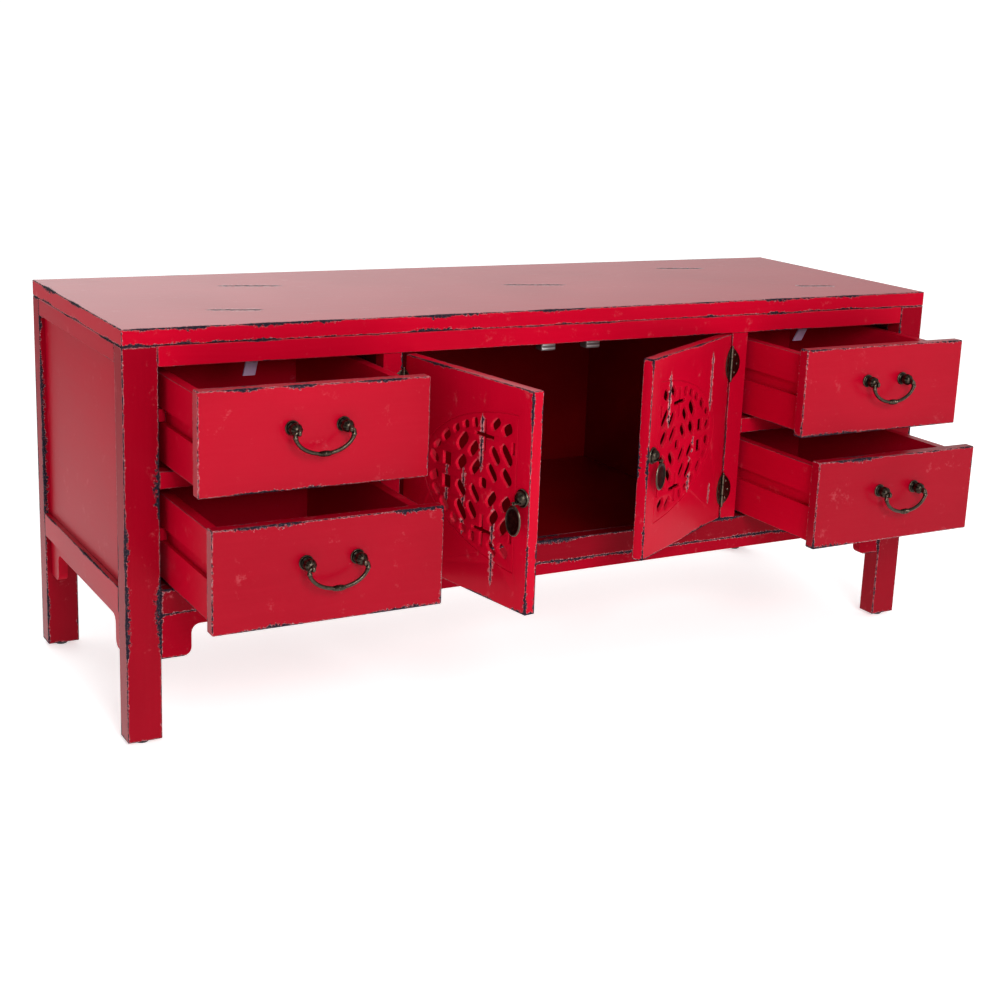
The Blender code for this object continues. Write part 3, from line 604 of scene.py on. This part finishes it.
def make_bail(level, word, metal):
    """A bowed rod with a collar under each post and a ringed swelling in the middle."""
    node = f"bail_{level}_{word}"
    low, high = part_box(node)
    centre_x, y, z = JOINTS[f"bail_swing_{level}_{word}"]["pos_m"]
    wide = (high.x - low.x) / 2 - 2.1 * MM
    depth = z - low.z - 2.4 * MM
    post = abs(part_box(f"handle_post_{level}_{word}_left")[0].x + POST_BASE - centre_x)
    half = [(post - 2.2 * MM, 0.0, 1.5), (post - 1.9 * MM, 0.0, 2.6), (post - 1.2 * MM, 0.0, 2.7),
            (post - 0.9 * MM, 0.0, 1.75), (wide - 3.0 * MM, 0.0, 1.75)]
    half += [(x, height, 1.9) for x, height in sweep(3.0 * MM, (wide - 3.0 * MM, -3.0 * MM), 75, 0, 5)]
    top = -3.0 * MM
    for step in range(1, 40):
        angle = math.pi / 2 * step / 40
        thick = 2.1 + 0.9 * math.exp(-((step - 3.5) / 1.5) ** 2) + 0.35 * math.exp(-((step - 7.0) / 0.8) ** 2)
        half.append((wide * math.cos(angle), top - (depth + top) * math.sin(angle), thick))
    swelling = (2.1, 2.8, 2.4, 3.1, 2.6, 3.3, 2.8, 3.4, 2.9)
    half = [point for point in half if point[0] > 7.6 * MM]
    for step, thick in enumerate(swelling):
        half.append((7.2 * MM - step * 0.85 * MM, -depth, thick))
    path = half + [(-x, height, thick) for x, height, thick in reversed(half)]
    piece = Piece(node + "_rod")
    points = [(centre_x + x, y, z + height) for x, height, thick in path]
    piece.add(rod(points, [thick / 2.1 * ROD_RADIUS for x, height, thick in path]))
    piece.done(metal, node, [node], 60.0)


# ---------------------------------------------------------------- doors

DOOR_THICKNESS = 16 * MM
DOOR_REVEAL = 1.5 * MM
PIN_FORWARD = 2.95 * MM
TOUCH = 0.3 * MM
RIM_EASE = 0.9 * MM
MOTIF_FROM_FREE_EDGE = 0.352
MOTIF_ABOVE_MIDDLE = 0.023
LINE_FROM_FREE_EDGE = 28 * MM
LINE_HALF_WIDTH = 224 * MM
LINE_HALF_HEIGHT = 102 * MM
LINE_RADIUS = 0.9 * MM
FRET_THICKNESS = 4.5 * MM
POCKET_INSET = 4 * MM
BLUNTNESS = 0.62
TIP_TAPER = 0.85


class DoorPlan:
    """Where one door is: its pin, how far it stands open, and its size."""

    def __init__(self, word, side):
        joint = JOINTS["door_hinge_" + word]
        self.word = word
        self.side = side
        self.pin = Vector(joint["pos_m"])
        closing = joint["range_deg"][1 if word == "left" else 0]
        self.open_turn = -math.radians(closing)
        low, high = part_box("door_" + word)
        self.height = high.z - low.z
        self.free_edge = abs(self.pin.x) - DOOR_REVEAL / 2
        self.width = self.free_edge - DOOR_REVEAL / 2
        self.motif_x = self.free_edge - MOTIF_FROM_FREE_EDGE * self.width
        self.motif_z = MOTIF_ABOVE_MIDDLE * self.height
        self.matrix = Matrix.Translation(self.pin) @ Matrix.Rotation(self.open_turn, 4, "Z")
        self.square = (self.pin, -self.open_turn)

    def across(self, x):
        """Distance from the hinge pin to X in the door's own frame."""
        return -self.side * x


def oval(x, z, length, width, tilt=0.0, points=28):
    """A tilted oval with blunt ends."""
    cosine = math.cos(math.radians(tilt))
    sine = math.sin(math.radians(tilt))
    outline = []
    for step in range(points):
        angle = math.tau * step / points
        along = length / 2 * math.copysign(abs(math.cos(angle)) ** BLUNTNESS, math.cos(angle))
        across = width / 2 * math.copysign(abs(math.sin(angle)) ** BLUNTNESS, math.sin(angle))
        outline.append((x + along * cosine - across * sine, z + along * sine + across * cosine))
    return outline


def rectangle(x, z, width, height):
    return [(x - width / 2, z - height / 2), (x + width / 2, z - height / 2),
            (x + width / 2, z + height / 2), (x - width / 2, z + height / 2)]


def cross(x, z, arm, wide, high):
    tip_high = TIP_TAPER * high
    tip_wide = TIP_TAPER * wide
    corner = [(arm, tip_high), (wide, high), (tip_wide, arm), (-tip_wide, arm), (-wide, high), (-arm, tip_high)]
    return [(x + a, z + b) for a, b in corner] + [(x - a, z - b) for a, b in corner]


# The slots that the fretwork has four times over: place, length, width and slope
LATTICE = (
    (65, 61, 93, 48, -45),
    (83, 142, 90, 51, -45),
    (174, 61, 88, 55, -40),
    (169, 161, 108, 56, -45),
)


def fret_holes():
    """The holes of the fretwork in thousandths of the door's size, about its small ring; x runs to the hinge."""
    holes = [oval(0, 0, 54, 50)]
    for to_hinge in (1, -1):
        for up in (1, -1):
            for x, z, length, width, tilt in LATTICE:
                holes.append(oval(to_hinge * x, up * z, length, width, to_hinge * up * tilt))
    upper = [
        cross(0, 218, 74, 13, 10),
        oval(74, 262, 48, 42, 80),
        oval(146, 242, 50, 38, -20),
        oval(220, 210, 50, 38, -35),
        oval(300, 162, 76, 44, -40),
        oval(370, 108, 66, 32, -35),
        oval(-82, 284, 78, 42, -38),
        oval(-168, 274, 78, 50, -28),
        rectangle(-220, 200, 20, 56),
        rectangle(288, 54, 64, 62),
        oval(390, 44, 70, 46, 30),
    ]
    for hole in upper:
        holes.append(hole)
        holes.append([(x, -z) for x, z in hole])
    return holes


def door_panel(plan):
    """The panel with its fretwork, its rims eased, lying square on the pin."""
    curve = bpy.data.curves.new("panel", "CURVE")
    curve.dimensions = "2D"
    curve.fill_mode = "BOTH"
    curve.extrude = DOOR_THICKNESS / 2 - RIM_EASE
    curve.bevel_depth = RIM_EASE
    curve.bevel_resolution = 2
    curve.offset = -RIM_EASE
    near = DOOR_REVEAL / 2
    half = plan.height / 2
    outlines = [[(near, -half), (plan.free_edge, -half), (plan.free_edge, half), (near, half)]]
    for hole in fret_holes():
        outlines.append([(plan.motif_x - x * plan.width / 1000, plan.motif_z + z * plan.height / 1000)
                         for x, z in hole])
    for outline in outlines:
        draw(curve, [(plan.across(x), z, 0.0) for x, z in outline], True)
    shape = as_shape(curve)
    stand = at(0.0, PIN_FORWARD + DOOR_THICKNESS / 2, 0.0) @ FACING_FRONT
    bmesh.ops.transform(shape, matrix=stand, verts=shape.verts)
    return shape


def medallion(plan, inset):
    """The outline round the fretwork: an oval cut off by a straight line near the free edge."""
    near = LINE_FROM_FREE_EDGE + inset
    wide = LINE_HALF_WIDTH - inset
    start = math.degrees(math.acos(near / wide))
    points = []
    for step in range(91):
        angle = math.radians(start - 2 * start * step / 90)
        points.append((plan.free_edge - wide * math.cos(angle), (LINE_HALF_HEIGHT - inset) * math.sin(angle)))
    corner_z = points[0][1]
    for step in range(1, 30):
        points.append((points[0][0], -corner_z + 2 * corner_z * step / 30))
    return [(plan.across(x), plan.motif_z + z) for x, z in points]


def carved_line(plan):
    """The bar whose shape is sunk in the door's face as a line round the fretwork."""
    curve = bpy.data.curves.new("line", "CURVE")
    curve.dimensions = "3D"
    curve.bevel_depth = LINE_RADIUS
    curve.bevel_resolution = 2
    draw(curve, [(x, PIN_FORWARD, z) for x, z in medallion(plan, 0.0)], True)
    return as_shape(curve)


def pocket(plan):
    """The hollow behind the fretwork, which leaves it a thin pierced panel."""
    front = PIN_FORWARD + FRET_THICKNESS
    return plate(medallion(plan, POCKET_INSET), front, PIN_FORWARD + DOOR_THICKNESS + 2 * MM, 0.5 * MM)


def carved(panel, cutter):
    """The panel with the cutter's shape cut out of it."""
    board = as_object("board", as_mesh("board", panel))
    blade = as_object("blade", as_mesh("blade", cutter))
    cut = board.modifiers.new("carve", "BOOLEAN")
    cut.operation = "DIFFERENCE"
    cut.solver = "EXACT"
    cut.object = blade
    shape = taken_from(board)
    bpy.data.objects.remove(blade)
    return shape


# Rubbed streaks on each door, in millimetres: from the free edge, below the top, length, width
DOOR_STROKES = {
    "left": ((100, 84, 80, 3.2), (136, 168, 96, 2.8), (72, 214, 112, 3.0), (172, 150, 70, 2.4)),
    "right": ((206, 62, 92, 3.0), (60, 66, 84, 3.2), (223, 236, 34, 2.0), (142, 190, 56, 2.6), (150, 146, 26, 2.0)),
}


def make_door(plan, seed):
    low = plan.pin + Vector((min(plan.across(0.0), plan.across(plan.free_edge)), PIN_FORWARD, -plan.height / 2))
    high = low + Vector((plan.free_edge, DOOR_THICKNESS, plan.height))
    strokes = []
    for from_edge, below_top, length, width in DOOR_STROKES[plan.word]:
        x = plan.pin.x + plan.across(plan.free_edge - from_edge * MM)
        spot = Vector((x, low.y, high.z - below_top * MM))
        strokes.append((spot, Vector(UPWARDS), Vector((1.0, 0.0, 0.0)), length * MM, width * MM))
    finish = lacquer(f"door_{plan.word}_finish", low, high, plan.square, 1.2, seed, strokes, shine=0.3)
    piece = Piece(f"door_{plan.word}_fretwork")
    cutter = Piece("cutter")
    cutter.add(carved_line(plan))
    cutter.add(pocket(plan))
    piece.add(carved(door_panel(plan), cutter.shape), plan.matrix)
    piece.done(finish, "door_" + plan.word, ["door_" + plan.word], 30.0)


# ---------------------------------------------------------------- door pulls

KNOB_FROM_EDGE = 12.7 * MM
BAR_REACH = 14.0 * MM
BAR_BELOW = 5.0 * MM
PENDANT_TOP = 2.1 * MM
PENDANT_NARROW = 0.75
LOOP_STRETCH = 2.2


def boss():
    """A domed boss with a beaded rim, standing up."""
    dome = sweep(1.0, (0.0, 0.0), 90, 8, 14)
    profile = [(radius * 9.6 * MM, (2.2 + height * 8.3) * MM) for radius, height in dome]
    profile[0] = (0.0, profile[0][1])
    rim = [(9.7, 2.6), (10.0, 2.0), (10.6, 2.3), (11.3, 2.2), (11.8, 1.6), (12.0, 0.9), (12.0, 0.1), (0.0, 0.1)]
    return spun(profile + in_mm(rim), 48)


def make_pull(plan, metal):
    x = plan.across(plan.free_edge - KNOB_FROM_EDGE)
    bar_y = PIN_FORWARD - TOUCH - BAR_REACH
    bar_z = plan.motif_z - BAR_BELOW
    piece = Piece(f"pull_{plan.word}_boss")
    piece.add(boss(), plan.matrix @ at(x, PIN_FORWARD, plan.motif_z) @ FACING_FRONT)
    for edge in (-1, 1):
        arm_x = x + edge * 3.0 * MM
        arm = [(arm_x, bar_y + step * 1.2 * MM, bar_z) for step in range(-1, 8)]
        piece.add(rod(arm, [0.7 * MM] + [1.25 * MM] * 8), plan.matrix)
    bar = [(x + step * 1.1 * MM, bar_y, bar_z) for step in range(-4, 5)]
    piece.add(rod(bar, [0.5 * MM] + [1.1 * MM] * 7 + [0.5 * MM]), plan.matrix)
    piece.done(metal, "door_" + plan.word, ["pull_knob_" + plan.word])

    dish = [(0.0, -0.1), (8.0, 0.0), (13.0, 0.25), (15.4, 0.5), (16.2, 1.0), (16.9, 1.45), (17.9, 1.6), (18.9, 1.3),
            (19.6, 0.7), (20.0, 0.0), (19.6, -0.6), (18.0, -0.8), (10.0, -0.7), (0.0, -0.7)]
    pendant = Piece(f"pull_{plan.word}_drop")
    hang = at(x, bar_y, bar_z - PENDANT_TOP - dish[9][0] * MM) @ FACING_FRONT
    pendant.add(spun(in_mm(dish), 64), plan.matrix @ hang @ Matrix.Scale(PENDANT_NARROW, 4, (1.0, 0.0, 0.0)))
    loop = spun(sweep(0.6 * MM, (2.0 * MM, 0.0), 180, -180, 10), 24)
    pendant.add(loop, plan.matrix @ at(x, bar_y, bar_z) @ LYING_ACROSS @ Matrix.Scale(LOOP_STRETCH, 4, UPWARDS))
    pendant.done(metal, "pull_" + plan.word, ["pull_pendant_" + plan.word])


# ---------------------------------------------------------------- hinges

HINGE_HALF = 25 * MM
HINGE_WIDTH = 16.5 * MM
HINGE_THICK = 1.2 * MM
HINGE_FROM_END = 45 * MM
KNUCKLE_RADIUS = 2.4 * MM
# The screws of a leaf, in millimetres: above its middle, out from the pin
SCREWS = ((-13.5, 7.2), (0.0, 11.0), (13.5, 7.2))


def leaf_outline(towards):
    """Half of a pointed oval, its straight edge beside the pin."""
    radius = (HINGE_HALF ** 2 + HINGE_WIDTH ** 2) / (2 * HINGE_WIDTH)
    reach = math.degrees(math.asin(HINGE_HALF / radius))
    inside = KNUCKLE_RADIUS - 0.6 * MM
    bow = [(max(x, inside), z) for x, z in sweep(radius, (HINGE_WIDTH - radius, 0.0), -reach, reach, 20)]
    bow = [point for point in bow if point[0] > inside + 0.05 * MM]
    points = [(inside, bow[0][1] - 0.6 * MM), *bow, (inside, bow[-1][1] + 0.6 * MM)]
    return [(towards * x, z) for x, z in points]


def barrel(length, radius=KNUCKLE_RADIUS):
    half = length / 2
    round_off = 0.4 * MM
    return spun([(0.0, half), (radius - round_off, half), (radius, half - round_off),
                 (radius, round_off - half), (radius - round_off, -half), (0.0, -half)], 24)


def screw():
    """A slotted screw head, standing up, in two halves on a thin base."""
    head = Piece("screw")
    dome = [(0.0, 0.75), (0.9, 0.66), (1.5, 0.42), (1.85, 0.0), (0.0, 0.0)]
    for side in (-1, 1):
        half = spun(in_mm(dome), 24)
        found = bmesh.ops.bisect_plane(half, geom=half.verts[:] + half.edges[:] + half.faces[:],
                                       plane_co=(side * 0.22 * MM, 0.0, 0.0), plane_no=(side, 0.0, 0.0),
                                       clear_inner=True)
        rim = [item for item in found["geom_cut"] if isinstance(item, bmesh.types.BMEdge)]
        bmesh.ops.edgeloop_fill(half, edges=rim)
        head.add(closed(half))
    head.add(spun(in_mm([(0.0, 0.25), (1.85, 0.2), (1.95, -0.3), (0.0, -0.3)]), 24))
    return head.shape


def make_hinge(plan, level, z, metal):
    name = f"{plan.word}_{level}"
    still = Matrix.Translation(plan.pin)
    front = PIN_FORWARD - TOUCH - HINGE_THICK
    third = HINGE_HALF * 2 / 3
    for kind, towards, matrix, body in (("case", plan.side, still, "case"),
                                        ("door", -plan.side, plan.matrix, "door_" + plan.word)):
        piece = Piece(f"hinge_{kind}_{name}")
        piece.add(plate(leaf_outline(towards), front, front + HINGE_THICK, 0.35 * MM),
                  matrix @ at(0.0, 0.0, z))
        for where, out in SCREWS:
            spot = at(towards * out * MM, front, z + where * MM) @ FACING_FRONT
            twist = Matrix.Rotation(math.radians(37 * where + 20), 4, "Z")
            piece.add(screw(), matrix @ spot @ twist)
        if kind == "case":
            for where in (-1, 1):
                knuckle = at(0.0, 0.0, z + where * third)
                piece.add(barrel(third - 0.6 * MM), matrix @ knuckle)
                cap = at(0.0, 0.0, z + where * (HINGE_HALF + 0.9 * MM))
                ball = bmesh.new()
                bmesh.ops.create_uvsphere(ball, u_segments=20, v_segments=12, radius=1.7 * MM)
                piece.add(ball, matrix @ cap)
        else:
            piece.add(barrel(third - 0.6 * MM), matrix @ at(0.0, 0.0, z))
        piece.done(metal, body, [f"hinge_{kind}_leaf_{name}"])


# ---------------------------------------------------------------- inside the case

def make_catch(word, dull, bright):
    """A magnetic catch: a dull housing with an ear at each end and two bright pole strips in front."""
    low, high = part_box("door_catch_" + word)
    piece = Piece(f"door_catch_{word}_housing")
    ear = 4.0 * MM
    piece.add(brick((low.x + ear, low.y + MM, low.z), (high.x - ear, high.y, high.z), 0.8 * MM))
    piece.add(brick((low.x, low.y + 3 * MM, high.z - 2 * MM), (high.x, high.y - 3 * MM, high.z), 0.5 * MM))
    piece.done(dull, "case", ["door_catch_" + word])
    poles = Piece(f"door_catch_{word}_poles")
    for rise in (0.16, 0.58):
        z = low.z + rise * (high.z - low.z)
        poles.add(brick((low.x + ear + MM, low.y, z), (high.x - ear - MM, low.y + 8 * MM, z + 2.2 * MM), 0.4 * MM))
    for x in (low.x + ear / 2, high.x - ear / 2):
        down = at(x, (low.y + high.y) / 2, high.z - 2 * MM) @ FACING_DOWN
        poles.add(screw(), down)
    poles.done(bright, "case")


STRIKE_RADIUS = 6.0 * MM


def make_strike(plan, plate_metal):
    """The steel disc on the back of a door that its catch holds."""
    catch = box_middle("door_catch_" + plan.word)
    x = plan.across(abs(plan.pin.x) - abs(catch.x))
    z = min(catch.z - plan.pin.z, plan.height / 2 - STRIKE_RADIUS - 0.5 * MM)
    disc = spun([(0.0, 0.5 * MM), (4.5 * MM, 0.5 * MM), (STRIKE_RADIUS, 0.2 * MM), (STRIKE_RADIUS, -0.2 * MM),
                 (0.0, -0.2 * MM)], 32)
    piece = Piece(f"door_strike_{plan.word}")
    back = at(x, PIN_FORWARD + DOOR_THICKNESS, z) @ FACING_BACK
    piece.add(disc, plan.matrix @ back)
    piece.done(plate_metal, "door_" + plan.word)


STOP_WIDTH = 17 * MM
STOP_HEIGHT = 18 * MM
STOP_BEHIND_FRONT = 83 * MM
STOP_TOP = 479 * MM


def make_stop(word, off_middle, slant, plastic):
    """A small pale tab that hangs behind the top rail over an upper drawer."""
    middle = box_middle("drawer_front_upper_" + word).x + off_middle
    outline = [(-STOP_WIDTH / 2 - slant, -STOP_HEIGHT), (STOP_WIDTH / 2 - slant, -STOP_HEIGHT),
               (STOP_WIDTH / 2, 0.0), (-STOP_WIDTH / 2, 0.0)]
    piece = Piece(f"drawer_stop_{word}")
    place = at(middle, FRONT + STOP_BEHIND_FRONT, STOP_TOP)
    piece.add(plate(outline, -1.5 * MM, 1.5 * MM, 0.5 * MM), place)
    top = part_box("top_board")[0].z - 0.3 * MM
    piece.add(brick((middle - STOP_WIDTH / 2, FRONT + STOP_BEHIND_FRONT - 1.5 * MM, STOP_TOP - MM),
                    (middle + STOP_WIDTH / 2, FRONT + STOP_BEHIND_FRONT + 1.5 * MM, top), 0.4 * MM))
    piece.done(plastic, "case")


# ---------------------------------------------------------------- floor, light and camera

def floor():
    bpy.ops.mesh.primitive_plane_add(size=60.0, location=(0.0, 0.0, 0.0))
    ground = bpy.context.object
    ground.name = "floor"
    paint = Paint("pale_floor")
    cloud = paint.noise(paint.place(), 0.8, 2.0)
    colour = paint.mix(cloud, (0.90, 0.90, 0.90), (0.92, 0.92, 0.92))
    ground.data.materials.append(paint.finish(Base_Color=colour, Roughness=0.8, Specular_IOR_Level=0.1,
                                              Emission_Color=(1.0, 1.0, 1.0, 1.0), Emission_Strength=0.55))


def lamp(name, place, aim, size, power):
    data = bpy.data.lights.new(name, "AREA")
    data.shape = "DISK"
    data.size = size
    data.energy = power
    made = as_object(name, data)
    made.location = place
    made.rotation_euler = (Vector(aim) - Vector(place)).to_track_quat("-Z", "Y").to_euler()


class Studio(Paint):
    """The white surroundings: dimmer overhead and on the left, with a broad glow behind."""

    def __init__(self, world):
        world.use_nodes = True
        self.tree = world.node_tree
        self.surface = self.tree.nodes["Background"]
        x, y, z = self.parts(self.node("ShaderNodeTexCoord", {}, {}, "Generated"))
        above = 1.0 - z.below(0.085, 0.05)
        behind_it = (y * 3.0).clamped()
        glow = ((0.44 - x) * 1.9).most(-0.5).least(0.6)
        shade = 0.48 * z.clamped() + 0.55 * (0.05 - x * 1.3).clamped() + 0.2 * (0.0 - y).clamped()
        horizon = z.below(0.12, 0.05)
        self.join(1.06 - shade * (1.0 - horizon) + glow * above * behind_it, self.surface.inputs["Strength"])


def light():
    world = bpy.data.worlds.new("studio")
    bpy.context.scene.world = world
    Studio(world).surface.inputs["Color"].default_value = (1.0, 1.0, 1.0, 1.0)
    lamp("key", (-0.75, -3.1, 1.7), (0.0, -0.2, 0.35), 1.4, 88.0)


LENS = 59.55
SHIFT = (-0.0493, -0.0411)
CAMERA_YAW = 0.546
CAMERA_PITCH = 0.2453
CAMERA_ROLL = 0.0468
CAMERA_PLACE = (-1.22409, -1.95239, 0.9020)


def camera():
    """Stands in front and to the left; its place is measured from the cabinet's front face."""
    data = bpy.data.cameras.new("camera")
    data.sensor_width = 36.0
    data.lens = LENS
    data.shift_x, data.shift_y = SHIFT
    made = as_object("camera", data)
    x, y, z = CAMERA_PLACE
    level = Euler((math.pi / 2 - CAMERA_PITCH, 0.0, -CAMERA_YAW)).to_matrix()
    turned = level @ Matrix.Rotation(CAMERA_ROLL, 3, "Z")
    made.matrix_world = at(x, y + FRONT, z) @ turned.to_4x4()
    bpy.context.scene.camera = made


def main():
    bpy.context.scene.view_settings.view_transform = "Standard"
    paint_wood()
    metal = bronze()
    plate_finish = zinc()
    dull = dull_zinc()
    plastic = black_plastic()
    pale = pale_plastic()
    for node in frame["nodes"]:
        if node.startswith("glide"):
            dress(node, plastic)
    for level in LEVELS:
        for word, _ in SIDES:
            make_bail(level, word, metal)
            for post_word, _ in SIDES:
                make_post(f"handle_post_{level}_{word}_{post_word}", f"drawer_{level}_{word}", metal)
    for word, side in SIDES:
        plan = DoorPlan(word, side)
        make_door(plan, 40.0 + 7.0 * side)
        make_pull(plan, metal)
        half = plan.height / 2
        make_hinge(plan, "top", half - HINGE_FROM_END, metal)
        make_hinge(plan, "bottom", HINGE_FROM_END - half, metal)
        make_catch(word, dull, plate_finish)
        make_strike(plan, plate_finish)
    make_stop("left", 0.0, 4 * MM, pale)
    make_stop("right", 22 * MM, 10 * MM, pale)
    floor()
    light()
    camera()


main()
